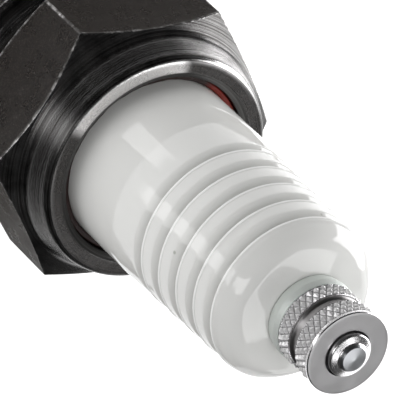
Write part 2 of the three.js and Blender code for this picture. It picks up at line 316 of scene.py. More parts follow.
def hexagon_wall(angles):
    """Distance from the axis to the hexagon's wall, with its six corners rounded off."""
    from_corner = from_hexagon_corner(angles)
    flat = HEX_APOTHEM / np.cos(SIXTH_TURN / 2 - from_corner)
    centre = (HEX_APOTHEM - HEX_CORNER_ROUND) / math.cos(SIXTH_TURN / 2)
    across = centre * np.sin(from_corner)
    rounded = centre * np.cos(from_corner) + np.sqrt(np.maximum(HEX_CORNER_ROUND ** 2 - across ** 2, 0))
    edge = math.atan2(
        HEX_CORNER_ROUND * math.sin(SIXTH_TURN / 2),
        centre + HEX_CORNER_ROUND * math.cos(SIXTH_TURN / 2),
    )
    return np.where(from_corner < edge, rounded, flat)


def chamfer_rise(radius):
    """Height of the hexagon's turned chamfer over its level at the flats."""
    return (HEX_APOTHEM - radius) * CHAMFER_SLOPE


# Places in the list of the shell's corners.
FLANGE_BOTTOM_CORNER = 6
FLANGE_TOP_CORNER = 7
WALL_BOTTOM_CORNER = 10
WALL_TOP_CORNER = 11


def shell_corners(wall):
    """The shell's section: up the outside from its mouth, over the lip and down the inside."""
    end = SHELL.bottom
    return [
        Corner(MOUTH_RADIUS, end, 0.15, 3),
        Corner(THREAD_MAJOR - THREAD_CHAMFER, end, 0.1, 10),
        Corner(THREAD_MAJOR, end + THREAD_CHAMFER, 0, 150),
        Corner(THREAD_MAJOR, THREAD_START - THREAD_CHAMFER, 0, 10),
        Corner(NECK_RADIUS, THREAD_START + THREAD_RUNOUT, 0.1, 4),
        Corner(NECK_RADIUS, FLANGE_BOTTOM, 0.3, 6),
        Corner(FLANGE_RADIUS, FLANGE_BOTTOM, 0.3, 6),
        Corner(FLANGE_RADIUS, FLANGE_TOP, 0.35, 3),
        Corner(GROOVE_RADIUS, FLANGE_TOP, 0.45, 8),
        Corner(GROOVE_RADIUS, HEX_BOTTOM - chamfer_rise(GROOVE_RADIUS), 0.25, 8),
        Corner(wall, HEX_BOTTOM - chamfer_rise(wall), HEX_EDGE_ROUND, 30),
        Corner(wall, HEX_TOP + chamfer_rise(wall), HEX_EDGE_ROUND, 12),
        Corner(LIP_ROOT, HEX_TOP + chamfer_rise(LIP_ROOT), 0.9, 8),
        Corner(LIP_WALL, SHELL.top, 0.5, 6),
        Corner(LIP_CREST_INNER, SHELL.top, 0.35, 4),
        Corner(LIP_EYE, SHELL.top - LIP_EYE_ROLL, 0.12, 4),
        Corner(LIP_EYE, LIP_UNDERSIDE, 0.05, 2),
        Corner(CAVITY_RADIUS, CAVITY_TOP, 0.1, 6),
        Corner(CAVITY_RADIUS, CAVITY_BOTTOM, 0.2, 4),
        Corner(BORE_RADIUS, BORE_TOP, 0.2, 6),
        Corner(BORE_RADIUS, LEDGE_TOP, 0.1, 2),
        Corner(LEDGE_RADIUS, LEDGE_TOP, 0.1, 2),
        Corner(LEDGE_RADIUS, LEDGE_BOTTOM, 0.1, 2),
        Corner(MOUTH_RADIUS, LEDGE_BOTTOM - LEDGE_LEAN, 0.1, 6),
    ]


def thread_radius(angles, heights):
    """The right-hand thread's surface at each point."""
    phase = (heights / THREAD_PITCH - angles / FULL_TURN) % 1
    from_crest = np.abs(phase - 0.5)
    fall = smooth_step(from_crest, THREAD_CREST, THREAD_CREST + THREAD_FLANK)
    return THREAD_MAJOR - (THREAD_MAJOR - THREAD_MINOR) * fall


# How far the finish has rubbed off along each edge, and where the wear fades beside an upright one.
EDGE_WEAR = {
    FLANGE_BOTTOM_CORNER: 0.35,
    FLANGE_TOP_CORNER: 0.35,
    WALL_BOTTOM_CORNER: 0.6,
    WALL_TOP_CORNER: 0.7,
}
UPRIGHT_WEAR = (math.radians(0.35), math.radians(0.75))


def shell_wear(rows, owners, angles):
    """How far the finish has worn through, along the hexagon's edges and the flange's rims."""
    wear = np.zeros((len(rows), len(angles)))
    for corner, amount in EDGE_WEAR.items():
        wear[owners == corner] = amount
    first = np.flatnonzero(owners == WALL_BOTTOM_CORNER)[0]
    last = np.flatnonzero(owners == WALL_TOP_CORNER)[-1]
    upright = 1 - smooth_step(from_hexagon_corner(angles), *UPRIGHT_WEAR)
    wear[first:last + 1] = np.maximum(wear[first:last + 1], upright)
    return wear


def painted_lip_highlight(rows, angles):
    """Where a painted highlight of bright steel lies on the lip's flat crest: along an arc on one side."""
    radius, height = rows[:, 0], rows[:, 1]
    on_crest = smooth_step(height, *LIP_HIGHLIGHT_LEVELS) * smooth_step(radius, *LIP_HIGHLIGHT_RADII)
    return on_crest * within_arc(angles, LIP_HIGHLIGHT_MIDDLE, LIP_HIGHLIGHT_HALF_ARC, LIP_HIGHLIGHT_FADE)


def painted_wall_highlight(rows, angles):
    """Painted highlight of bright steel, in streaks, on the lip's wall and the fillet under it, on one arc.
    """
    radius, height = rows[:, 0], rows[:, 1]
    on_wall = smooth_step(height, *WALL_HIGHLIGHT_LEVELS) * smooth_step(radius, *WALL_HIGHLIGHT_RADII)
    return on_wall * within_arc(angles, WALL_HIGHLIGHT_MIDDLE, WALL_HIGHLIGHT_HALF_ARC, WALL_HIGHLIGHT_FADE)


def make_shell(material):
    angles = shell_angles()
    corners = shell_corners(hexagon_wall(angles))
    rows, owners = trace(corners, closed=True, columns=len(angles))
    radius, height = rows[:, 0], rows[:, 1]
    threaded = (height < THREAD_START) & (radius > NECK_RADIUS)
    radius[threaded] = np.minimum(radius, thread_radius(angles, height))[threaded]
    first = np.flatnonzero(owners == WALL_BOTTOM_CORNER)[-1]
    last = np.flatnonzero(owners == WALL_TOP_CORNER)[0]
    turned = np.where(np.isclose(height[:, 0], SHELL.top, atol=2 * HAIR), CREST_SHEEN, 1.0)
    turned[first:last + 1] = 0
    masks = {
        "wear": shell_wear(rows, owners, angles),
        # The next two masks place painted highlights of bright steel on the lip.
        "lip_highlight": painted_lip_highlight(rows, angles),
        "wall_highlight": painted_wall_highlight(rows, angles),
        "turned": turned[:, None],
    }
    piece = turned_piece("steel_shell", rows, angles, True, masks)
    finish_piece(piece, "plug_body", "shell", material)


# ---------------------------------------------------------------- the ceramic insulator

INSULATOR_COLUMNS = 288
BARREL_RADIUS = 6.45
BARREL_TOP = 21.3
CORE_RADIUS = 5.35
CORE_TOP = 2.6
BELT_RADIUS = 7.3
BELT_BOTTOM = 5.0
BELT_TOP = 8.8
BELT_SLOPE = 1.0  # the height of the cone between the belt and the barrel
STEP_RADIUS = 4.1  # the narrower nose under the core
STEP_TOP = -4.4
STEP_BOTTOM = -5.6
TIP_RADIUS = 2.45
ELECTRODE_BORE = 1.3
STUD_BORE = 2.0
BORE_STEP = -2.9
SHOULDER_RADIUS = 5.15  # the domed end, between the ribs and the flat under the collar
SHOULDER_HEIGHT = 35.25
DOME_TOP_RADIUS = 3.0
RIB_COUNT = 5
RIB_TOP = 33.6
RIBS_START = BARREL_TOP + 1  # a level on the plain barrel, just under the lowest groove
RIBS_END = 34.1  # where the land over the top ridge turns into the domed end
RIB_PITCH = 2.15
RIB_FIRST_RADIUS = 5.98  # of the top rib's land
RIB_LAST_RADIUS = 6.27  # of the lowest rib's land
RIB_SWELL = 0.02  # how far outside its ridge's land a groove begins, and the domed end too
RIB_DEPTH = 0.36  # the groove under each rib
RIB_SLOPE = 0.92  # from the ridge down to where the next land begins
RIB_GROOVE = 0.24  # from the ridge down to the groove's floor
RIB_BEAD = 0.09  # how far each ridge stands proud of its land
RIB_BEAD_WIDTH = 0.2
CORNERS_PER_RIB = 4
RIDGE_IN_RIB = 2  # the ridge's place among its rib's corners


def rib_corners():
    """The barrel's ribs: under each ridge a groove, with a long lower side and a short upper one."""
    corners = []
    for rib in reversed(range(RIB_COUNT)):
        edge = RIB_TOP - rib * RIB_PITCH
        share = rib / (RIB_COUNT - 1)
        radius = RIB_FIRST_RADIUS + (RIB_LAST_RADIUS - RIB_FIRST_RADIUS) * share
        corners += [
            Corner(radius + RIB_SWELL, edge - RIB_SLOPE, 0.5, 3),
            Corner(radius - RIB_DEPTH, edge - RIB_GROOVE, 0.14, 3),
            Corner(radius + RIB_BEAD, edge, 0.09, 2),
            Corner(radius, edge + RIB_BEAD_WIDTH, 0.2, 3),
        ]
    return corners


def lower_insulator_corners():
    """Up the outside from the tip to the plain barrel's top."""
    return [
        Corner(ELECTRODE_BORE, INSULATOR.bottom, 0.1, 3),
        Corner(TIP_RADIUS, INSULATOR.bottom, 0.35, 30),
        Corner(STEP_RADIUS, STEP_BOTTOM, 0.6, 3),
        Corner(STEP_RADIUS, STEP_TOP, 0.15, 3),
        Corner(CORE_RADIUS, STEP_TOP, 0.25, 20),
        Corner(CORE_RADIUS, CORE_TOP, 0.5, 6),
        Corner(BELT_RADIUS, BELT_BOTTOM, 0.4, 8),
        Corner(BELT_RADIUS, BELT_TOP, 0.4, 4),
        Corner(BARREL_RADIUS, BELT_TOP + BELT_SLOPE, 0.5, 30),
        Corner(BARREL_RADIUS, BARREL_TOP, 6.0, 12),
    ]


def upper_insulator_corners():
    """Over the domed end and down the bore."""
    return [
        Corner(RIB_FIRST_RADIUS + RIB_SWELL, RIBS_END, 0.9, 4),
        Corner(SHOULDER_RADIUS, SHOULDER_HEIGHT, 1.6, 10),
        Corner(DOME_TOP_RADIUS, INSULATOR.top, 0.4, 5),
        Corner(STUD_BORE, INSULATOR.top, 0.15, 20),
        Corner(STUD_BORE, BORE_STEP, 0.1, 3),
        Corner(ELECTRODE_BORE, BORE_STEP, 0.1, 10),
    ]


def make_insulator(material):
    lower, ribs = lower_insulator_corners(), rib_corners()
    rows, owners = trace(lower + ribs + upper_insulator_corners(), closed=True)
    radius, height = rows[:, 0], rows[:, 1]
    ribbed = (height > RIBS_START) & (height < RIB_TOP)
    lowest_ridge = RIB_TOP - RIB_PITCH * (RIB_COUNT - 1)
    land = np.interp(height, [lowest_ridge, RIB_TOP], [RIB_LAST_RADIUS, RIB_FIRST_RADIUS])
    # Painted shade: how far under its land each point lies, which darkens the grooves.
    groove_shade = np.clip((land - radius) / RIB_DEPTH, 0, 1) * ribbed
    ridges = range(len(lower) + RIDGE_IN_RIB, len(lower) + len(ribs), CORNERS_PER_RIB)
    on_ridge = np.isin(owners, list(ridges)).astype(float)
    on_ridge = np.maximum(on_ridge, np.roll(on_ridge, 1))
    # The ridge mask carries the painted highlight along each rib's ridge.
    masks = {"groove_shade": groove_shade, "ridge": on_ridge[:, None]}
    angles = full_circle(INSULATOR_COLUMNS)
    piece = turned_piece("ceramic_insulator", rows, angles, True, masks)
    finish_piece(piece, "plug_body", "insulator", material)


# ---------------------------------------------------------------- terminal stud and nut

STUD_COLUMNS = 180
GRIP_COUNT = 4  # ridges on the lower end, which the glass seal holds
GRIP_PITCH = 1.38
GRIP_RISE = 0.7
GRIP_FLOOR_RADIUS = 1.65
GRIP_RIDGE_RADIUS = 1.9
SHANK_RADIUS = 1.75
SHANK_BOTTOM = 20.0
COLLAR_BOTTOM = 35.88
COLLAR_TOP = 37.2
COLLAR_FOOT_RADIUS = 2.95
COLLAR_ROUND = 0.5
COLLAR_DRAFT = 0.04  # how much narrower the collar is at its top
STUD_THREAD_RADIUS = 1.68
STUD_THREAD_TOP = 40.2
STUD_PITCH = 0.7
STUD_THREAD_DEPTH = 0.28
STUD_THREAD_CREST = 0.08  # from the middle of a crest to where its flank begins, as a share of the pitch
STUD_THREAD_ROOT = 0.42  # the same, to where its flank ends
STUD_END_RADIUS = 1.6
STUD_END_TOP = 41.42
NUB_FOOT_RADIUS = 1.06
NUB_FOOT = 41.62
NUB_RADIUS = 0.9
NUB_EDGE = 41.9
TIP_BOTTOM = NUB_FOOT + 0.06  # over this the stud has its end's own finish


def stud_corners():
    """The stud's section, from the middle of its lower end to the middle of the nub on top."""
    grip = []
    for i in range(GRIP_COUNT):
        level = STUD.bottom + GRIP_PITCH * i
        grip.append(Corner(GRIP_FLOOR_RADIUS, level, 0.12, 3))
        grip.append(Corner(GRIP_RIDGE_RADIUS, level + GRIP_RISE, 0.12, 3))
    return [
        Corner(0, STUD.bottom),
        *grip,
        Corner(SHANK_RADIUS, SHANK_BOTTOM, 0.1, 10),
        Corner(SHANK_RADIUS, COLLAR_BOTTOM, 0.08, 6),
        Corner(COLLAR_FOOT_RADIUS, COLLAR_BOTTOM, 0.12, 6),
        Corner(STUD.radius, COLLAR_TOP - COLLAR_ROUND, COLLAR_ROUND, 3),
        Corner(STUD.radius - COLLAR_DRAFT, COLLAR_TOP, 0.06, 8),
        Corner(STUD_THREAD_RADIUS, COLLAR_TOP, 0.05, 90),
        Corner(STUD_THREAD_RADIUS, STUD_THREAD_TOP, 0.1, 3),
        Corner(STUD_END_RADIUS, STUD_THREAD_TOP + THREAD_RUNOUT, 0.1, 3),
        Corner(STUD_END_RADIUS, STUD_END_TOP, 0.16, 6),
        Corner(NUB_FOOT_RADIUS, NUB_FOOT, 0.12, 3),
        Corner(NUB_RADIUS, NUB_EDGE, 0.12, 6),
        Corner(0, STUD.top),
    ]


def make_stud(material):
    angles = full_circle(STUD_COLUMNS)
    single, _ = trace(stud_corners(), closed=False)
    rows = spread(single, len(angles))
    radius, height = rows[:, 0], rows[:, 1]
    on_thread = (height > COLLAR_TOP + THREAD_RUNOUT) & (height < STUD_THREAD_TOP)
    threaded = on_thread & (radius > STUD_END_RADIUS)
    from_crest = np.abs((height / STUD_PITCH - angles / FULL_TURN) % 1 - 0.5)
    cut = STUD_THREAD_DEPTH * smooth_step(from_crest, STUD_THREAD_CREST, STUD_THREAD_ROOT)
    radius[threaded] -= cut[threaded]
    level_with_collar = (height > COLLAR_BOTTOM - HAIR) & (height < COLLAR_TOP + HAIR)
    masks = {
        "collar": (level_with_collar & (radius > STUD_BORE)).astype(float),
        "tip": (height > TIP_BOTTOM).astype(float),
    }
    piece = turned_piece("threaded_stud", rows, angles, False, masks)
    finish_piece(piece, "plug_body", "terminal_stud", material)


NUT_BORE = 1.72
NUT_GROOVE_RADIUS = 2.72
NUT_GROOVE_BOTTOM = 38.44
NUT_GROOVE_TOP = 39.31
NUT_GROOVE_FLARE = 0.03  # how far outside these levels its sides meet the knurl
NUT_GROOVE_LEAN = 0.02  # how far inside them its sides meet its floor
NUT_RIM = 0.3  # smooth land between the upper knurled band and the end face
NUT_RIM_SLOPE = 0.03
KNURL_RADIUS = 3.09
KNURL_COUNT = 34
KNURL_HEIGHT = 0.86
KNURL_DEPTH = 0.22
KNURL_FADE = 0.12  # how far under the knurl's surface the pattern runs out
KNURL_CLIP = 1.1  # over 1 leaves a small flat on each point
COLUMNS_PER_DIAMOND = 16


def nut_corners():
    """The nut's section: up the outside over both bands, across the end face and down the bore."""
    return [
        Corner(NUT_BORE, NUT.bottom, 0.1, 4),
        Corner(KNURL_RADIUS, NUT.bottom, 0.14, 24),
        Corner(KNURL_RADIUS, NUT_GROOVE_BOTTOM - NUT_GROOVE_FLARE, 0.05, 4),
        Corner(NUT_GROOVE_RADIUS, NUT_GROOVE_BOTTOM + NUT_GROOVE_LEAN, 0.2, 6),
        Corner(NUT_GROOVE_RADIUS, NUT_GROOVE_TOP - NUT_GROOVE_LEAN, 0.12, 4),
        Corner(KNURL_RADIUS, NUT_GROOVE_TOP + NUT_GROOVE_FLARE, 0.05, 30),
        Corner(KNURL_RADIUS, NUT.top - NUT_RIM, 0, 2),
        Corner(NUT.radius, NUT.top - NUT_RIM + NUT_RIM_SLOPE, 0, 4),
        Corner(NUT.radius, NUT.top, 0.09, 8),
        Corner(NUT_BORE, NUT.top, 0.03, 4),
    ]


def knurl(angles, heights):
    """Diamond points, from 0 in the crossing grooves to 1 on each flat-topped point."""
    around = angles * KNURL_COUNT / FULL_TURN
    along = heights / KNURL_HEIGHT
    rising = 1 - np.abs(2 * ((around + along) % 1) - 1)
    falling = 1 - np.abs(2 * ((around - along) % 1) - 1)
    return np.clip(np.minimum(rising, falling) * KNURL_CLIP, 0, 1)


def make_nut(material):
    angles = full_circle(KNURL_COUNT * COLUMNS_PER_DIAMOND)
    single, _ = trace(nut_corners(), closed=True)
    rows = spread(single, len(angles))
    radius, height = rows[:, 0], rows[:, 1]
    outside = smooth_step(radius, KNURL_RADIUS - KNURL_FADE, KNURL_RADIUS - HAIR)
    knurled = outside * (height < NUT.top - NUT_RIM + HAIR)
    recess = knurled * (1 - knurl(angles, height))
    radius -= KNURL_DEPTH * recess
    in_groove = (height > NUT_GROOVE_BOTTOM) & (height < NUT_GROOVE_TOP)
    grooved = in_groove & (radius > NUT_BORE + 0.1)
    masks = {
        "recess": recess,
        "face": (height > NUT.top - 2 * HAIR).astype(float),
        "groove": grooved * (1 - outside),
        "knurled": knurled,
    }
    piece = turned_piece("knurled_nut", rows, angles, True, masks)
    finish_piece(piece, "terminal_nut", "terminal_nut", material)


# ---------------------------------------------------------------- seal, gasket and electrodes

SEAL_COLUMNS = 288
SEAL_INNER = 6.49
SEAL_SLOPE = 0.08
SEAL_EVEN_HEIGHT = 0.3  # over this its top sinks unevenly
SEAL_SINK = 0.16
SEAL_LUMPS = ((0.03, 7, 0), (0.025, 17, 1), (0.015, 41, 2))  # height, number round the ring, shift
# The arc where the ring's red shows. Elsewhere the ring is nearly black, as painted shade in the gap under
# the lip.
SEAL_UNSHADED_MIDDLE = math.radians(-168)
SEAL_UNSHADED_HALF_ARC = math.radians(19)


def make_lip_seal(material):
    corners = [
        Corner(SEAL_INNER, SEAL.bottom, 0.05, 2),
        Corner(SEAL.radius, SEAL.bottom, 0.05, 6),
        Corner(SEAL.radius, SEAL.top, 0.12, 2),
        Corner(SEAL_INNER, SEAL.top - SEAL_SLOPE, 0.1, 6),
    ]
    angles = full_circle(SEAL_COLUMNS)
    rows = spread(trace(corners, closed=True)[0], len(angles))
    lumps = sum(size * np.sin(angles * count + shift) for size, count, shift in SEAL_LUMPS)
    sinking = smooth_step(rows[:, 1], SEAL.bottom + SEAL_EVEN_HEIGHT, SEAL.top)
    rows[:, 1] -= sinking * (SEAL_SINK + lumps)
    # Outside this arc the ring carries painted shade.
    unshaded_arc = within_arc(angles, SEAL_UNSHADED_MIDDLE, SEAL_UNSHADED_HALF_ARC, SEAL_UNSHADED_HALF_ARC / 2)
    piece = turned_piece("sealing_ring", rows, angles, True, {"unshaded_arc": unshaded_arc})
    finish_piece(piece, "plug_body", "lip_seal", material)


GASKET_COLUMNS = 216
GASKET_INNER = 7.15
FOLD_DEPTH = 1.3
FOLD_HALF_GAP = 0.15


def make_gasket(material):
    fold_end = GASKET_INNER + FOLD_DEPTH
    fold_top, fold_bottom = GASKET.top / 2 + FOLD_HALF_GAP, GASKET.top / 2 - FOLD_HALF_GAP
    corners = [
        Corner(GASKET_INNER, 0, 0.45, 6),
        Corner(GASKET.radius, 0, 0.6, 2),
        Corner(GASKET.radius, GASKET.top, 0.6, 6),
        Corner(GASKET_INNER, GASKET.top, 0.45, 2),
        Corner(GASKET_INNER, fold_top, 0.12, 4),
        Corner(fold_end, fold_top, 0.1, 1),
        Corner(fold_end, fold_bottom, 0.1, 4),
        Corner(GASKET_INNER, fold_bottom, 0.12, 2),
    ]
    angles = full_circle(GASKET_COLUMNS)
    piece = turned_piece("folded_gasket", trace(corners, closed=True)[0], angles, True)
    finish_piece(piece, "outer_gasket", "outer_gasket", material)


ELECTRODE_COLUMNS = 96
ELECTRODE_RADIUS = 1.25
ELECTRODE_HEAD_BOTTOM = -2.87  # the head rests just above the step in the insulator's bore
CORE_HOLE_RADIUS = 0.66  # for the copper core
CORE_HOLE_BOTTOM = -14.0


def make_centre_electrode(material):
    corners = [
        Corner(0, ELECTRODE.bottom, 0, 4),
        Corner(ELECTRODE_RADIUS, ELECTRODE.bottom, 0.12, 20),
        Corner(ELECTRODE_RADIUS, ELECTRODE_HEAD_BOTTOM, 0.1, 2),
        Corner(ELECTRODE.radius, ELECTRODE_HEAD_BOTTOM, 0.1, 3),
        Corner(ELECTRODE.radius, ELECTRODE.top, 0.1, 2),
        Corner(CORE_HOLE_RADIUS, ELECTRODE.top, 0.05, 8),
        Corner(CORE_HOLE_RADIUS, CORE_HOLE_BOTTOM, 0.05, 2),
        Corner(0, CORE_HOLE_BOTTOM),
    ]
    angles = full_circle(ELECTRODE_COLUMNS)
    piece = turned_piece("centre_electrode_tip", trace(corners, closed=False)[0], angles, False)
    finish_piece(piece, "plug_body", "centre_electrode", material)


STRAP_THICKNESS = 1.2
STRAP_BEND = 1.0  # radius on the inside of the bend
STRAP_EDGE = 0.16
STRAP_END_INSET = 0.1  # chamfer round the free end
STRAP_LEG_ROWS = 12
STRAP_BEND_ROWS = 14
STRAP_ARM_ROWS = 20
STRAP_EDGE_POINTS = 5


def strap_path():
    """Points and outward directions along the strap's middle line, from the weld to its free end."""
    middle_bend = STRAP_BEND + STRAP_THICKNESS / 2
    x = STRAP_HIGH.x - STRAP_THICKNESS / 2
    z = STRAP_LOW.z + STRAP_THICKNESS / 2
    bend_x, bend_z = x - middle_bend, z + middle_bend
    path = [((x, level), (1, 0)) for level in np.linspace(STRAP_HIGH.z, bend_z, STRAP_LEG_ROWS)]
    for angle in np.linspace(0, -QUARTER_TURN, STRAP_BEND_ROWS)[1:]:
        out_x, out_z = math.cos(angle), math.sin(angle)
        path.append(((bend_x + middle_bend * out_x, bend_z + middle_bend * out_z), (out_x, out_z)))
    path += [((across, z), (0, -1)) for across in np.linspace(bend_x, STRAP_LOW.x, STRAP_ARM_ROWS)[1:]]
    return path


def strap_section():
    """Offsets through the thickness and across the width of a bar with rounded edges, all round it."""
    flat_out = STRAP_THICKNESS / 2 - STRAP_EDGE
    flat_side = (STRAP_HIGH.y - STRAP_LOW.y) / 2 - STRAP_EDGE
    section = []
    for quarter, (sign_out, sign_side) in enumerate(((1, 1), (-1, 1), (-1, -1), (1, -1))):
        for angle in np.linspace(0, QUARTER_TURN, STRAP_EDGE_POINTS) + quarter * QUARTER_TURN:
            out = sign_out * flat_out + STRAP_EDGE * math.cos(angle)
            side = sign_side * flat_side + STRAP_EDGE * math.sin(angle)
            section.append((out, side))
    return section


def make_ground_electrode(material):
    path, section = strap_path(), strap_section()
    rings = [
        [(x + out * out_x, side, z + out * out_z) for out, side in section]
        for (x, z), (out_x, out_z) in path
    ]
    end_x, end_z = path[-1][0]
    shrink = 1 - STRAP_END_INSET / (STRAP_THICKNESS / 2)
    rings[-1] = [(end_x + STRAP_END_INSET, side, end_z - out) for out, side in section]
    rings.append([(end_x, side * shrink, end_z - out * shrink) for out, side in section])
    points = np.array(rings).reshape(-1, 3)
    index = np.arange(len(points)).reshape(len(rings), len(section))
    near, far = index[:-1], index[1:]
    quads = np.stack([near, far, np.roll(far, -1, axis=1), np.roll(near, -1, axis=1)], axis=-1)
    faces = [*quads.reshape(-1, 4).tolist(), index[0].tolist(), index[-1][::-1].tolist()]
    piece = mesh_piece("hooked_strap", points, faces)
    finish_piece(piece, "plug_body", "ground_electrode", material)


# ---------------------------------------------------------------- materials

# Almost all of a noise lies between these values.
NOISE_LOW = 0.3
NOISE_HIGH = 0.7


class Shader:
    """A material whose nodes are added one short call at a time, measured in millimetres on the object."""

    def __init__(self, name):
        self.material = bpy.data.materials.new(name)
        self.material.use_nodes = True
        self.tree = self.material.node_tree
        self.surface = self.tree.nodes["Principled BSDF"]
        metres = self.add("ShaderNodeTexCoord").outputs["Object"]
        self.place = self.scaled(metres, (1 / MM, 1 / MM, 1 / MM))

    def add(self, kind, inputs=(), **settings):
        node = self.tree.nodes.new(kind)
        for setting, value in settings.items():
            setattr(node, setting, value)
        for socket, value in dict(inputs).items():
            self.feed(node.inputs[socket], value)
        return node

    def feed(self, socket, value):
        if isinstance(value, bpy.types.NodeSocket):
            self.tree.links.new(value, socket)
        else:
            socket.default_value = value

    def scaled(self, vector, factors):
        return self.add("ShaderNodeVectorMath", {0: vector, 1: factors}, operation="MULTIPLY").outputs[0]

    def noise(self, scale, detail=2.0, place=None, roughness=0.5):
        inputs = {"Vector": place or self.place, "Scale": scale, "Detail": detail, "Roughness": roughness}
        return self.add("ShaderNodeTexNoise", inputs).outputs[0]

    def cells(self, scale):
        inputs = {"Vector": self.place, "Scale": scale}
        return self.add("ShaderNodeTexVoronoi", inputs).outputs["Distance"]

    def math(self, operation, first, second=0.0):
        return self.add("ShaderNodeMath", {0: first, 1: second}, operation=operation).outputs[0]

    def levels(self, value, low, high, new_low=0.0, new_high=1.0):
        inputs = {"Value": value, "From Min": low, "From Max": high, "To Min": new_low, "To Max": new_high}
        return self.add("ShaderNodeMapRange", inputs).outputs[0]

    def vary(self, noise, low, high):
        """A number that wanders from low to high as the noise does."""
        return self.levels(noise, NOISE_LOW, NOISE_HIGH, low, high)

    def mix(self, share, first, second):
        """A colour between two colours."""
        node = self.add("ShaderNodeMix", data_type="RGBA")
        for socket, value in (("Factor_Float", share), ("A_Color", first), ("B_Color", second)):
            self.feed(next(s for s in node.inputs if s.identifier == socket), value)
        return next(s for s in node.outputs if s.identifier == "Result_Color")

    def mask(self, name):
        return self.add("ShaderNodeAttribute", attribute_name=name).outputs["Fac"]

    def lathe_place(self):
        """Radius and height as a vector, so that a texture on it runs in rings round the axis."""
        parts = self.add("ShaderNodeSeparateXYZ", {0: self.place}).outputs
        flat = self.add("ShaderNodeCombineXYZ", {0: parts[0], 1: parts[1]}).outputs[0]
        radius = self.add("ShaderNodeVectorMath", {0: flat}, operation="LENGTH").outputs["Value"]
        return self.add("ShaderNodeCombineXYZ", {0: radius, 1: parts[2]}).outputs[0]

    def bump(self, height, depth, under=None):
        """Relief of the given depth in millimetres for a height between 0 and 1."""
        inputs = {"Height": height, "Distance": depth * MM, "Strength": 1.0}
        if under is not None:
            inputs["Normal"] = under
        return self.add("ShaderNodeBump", inputs).outputs[0]

    def rings_tangent(self):
        return self.add("ShaderNodeTangent", direction_type="RADIAL", axis="Z").outputs[0]

    def set(self, **values):
        names = {"color": "Base Color", "specular": "Specular IOR Level", "ior": "IOR"}
        for name, value in values.items():
            self.feed(self.surface.inputs[names.get(name, name.capitalize())], value)
        return self


def rgb(red, green, blue):
    return (red, green, blue, 1.0)


def blackened_steel():
    """Black oxide over turned steel, rubbed bright on its edges, with painted highlights of bright steel on
    parts of the lip.
    """
    s = Shader("blackened_steel")
    turned = s.mask("turned")
    mottle = s.noise(0.7, 3.0)
    grain = s.noise(9.0, 3.0)
    scratches = s.noise(3.0, 3.0, place=s.scaled(s.place, (0.6, 0.6, 5.0)), roughness=0.7)
    specks = s.levels(s.noise(14.0, 1.0), 0.70, 0.76)
    rare = s.levels(s.noise(1.1, 2.0), 0.45, 0.62)
    black = s.mix(mottle, rgb(0.004, 0.0035, 0.0035), rgb(0.014, 0.011, 0.010))
    grainy = s.mix(s.levels(grain, 0.45, 0.7), black, rgb(0.040, 0.033, 0.029))
    speckled = s.mix(s.math("MULTIPLY", specks, rare), grainy, rgb(0.20, 0.19, 0.17))
    chips = s.levels(s.noise(2.6, 4.0, roughness=0.7), 0.5, 0.66, 0.05, 0.8)
    worn = s.math("MULTIPLY", s.mask("wear"), chips)
    pitted = s.levels(s.noise(16.0, 3.0), 0.35, 0.6, 0.6, 1.0)
    # Painted highlight: bright steel along one arc of the lip's flat crest.
    painted_lip_glint = s.math("MULTIPLY", s.mask("lip_highlight"), pitted)
    rings = s.lathe_place()
    streaks = s.levels(s.noise(8.0, 4.0, place=rings, roughness=0.75), 0.42, 0.62)
    # Painted highlight: streaks of bright steel along one arc of the lip's wall.
    painted_wall_glint = s.math("MULTIPLY", s.mask("wall_highlight"), s.levels(streaks, 0.0, 1.0, 0.3, 0.9))
    # Real wear on the edges and the painted highlights on the lip both show bright steel.
    wear_and_highlights = s.math("MAXIMUM", s.math("MAXIMUM", worn, painted_lip_glint), painted_wall_glint)
    machined = s.math("MULTIPLY", turned, s.vary(mottle, 0.75, 1.0))
    cut = s.mix(streaks, rgb(0.030, 0.028, 0.027), rgb(0.15, 0.149, 0.148))
    dark = s.mix(machined, speckled, cut)
    colour = s.mix(wear_and_highlights, dark, rgb(0.93, 0.91, 0.91))
    fine = s.noise(14.0, 2.0, place=rings)
    coarse = s.noise(3.2, 2.0, place=rings)
    lines = s.math("MULTIPLY", s.math("ADD", fine, s.math("MULTIPLY", coarse, 2.0)), turned)
    relief = s.bump(s.math("ADD", grain, scratches), 0.010, under=s.bump(lines, 0.007))
    satin = s.vary(mottle, 0.24, 0.34)
    roughness = s.math("SUBTRACT", satin, s.math("MULTIPLY", machined, 0.14))
    s.set(color=colour, metallic=s.math("MAXIMUM", wear_and_highlights, machined), roughness=roughness)
    s.set(normal=relief, anisotropic=0.6, tangent=s.rings_tangent(), specular=0.6)
    return s.material


def glazed_ceramic():
    """Nearly neutral white alumina under a clear glaze, with specks, painted groove shade and painted ridge
    highlights.
    """
    s = Shader("glazed_ceramic")
    cloud = s.noise(0.12, 2.0)
    body = s.mix(cloud, rgb(0.725, 0.725, 0.71), rgb(0.765, 0.765, 0.745))
    # Painted shade: the grooves darken towards their floors.
    groove_shaded = s.mix(s.math("MULTIPLY", s.mask("groove_shade"), 0.6), body, rgb(0.52, 0.52, 0.50))
    # Painted highlight: each rib's ridge is lightened nearly to white.
    ridge_highlighted = s.mix(s.mask("ridge"), groove_shaded, rgb(0.97, 0.97, 0.96))
    seeds = s.math("SUBTRACT", 1.0, s.levels(s.cells(0.28), 0.02, 0.045))
    speck = s.math("MULTIPLY", seeds, s.levels(s.noise(0.3, 0.0), 0.5, 0.55, 0.0, 0.6))
    colour = s.mix(speck, ridge_highlighted, rgb(0.25, 0.27, 0.22))
    relief = s.bump(s.noise(1.1, 1.0), 0.003)
    s.set(color=colour, roughness=s.vary(s.noise(2.5, 3.0), 0.04, 0.07), normal=relief)
    s.set(ior=1.55)
    return s.material


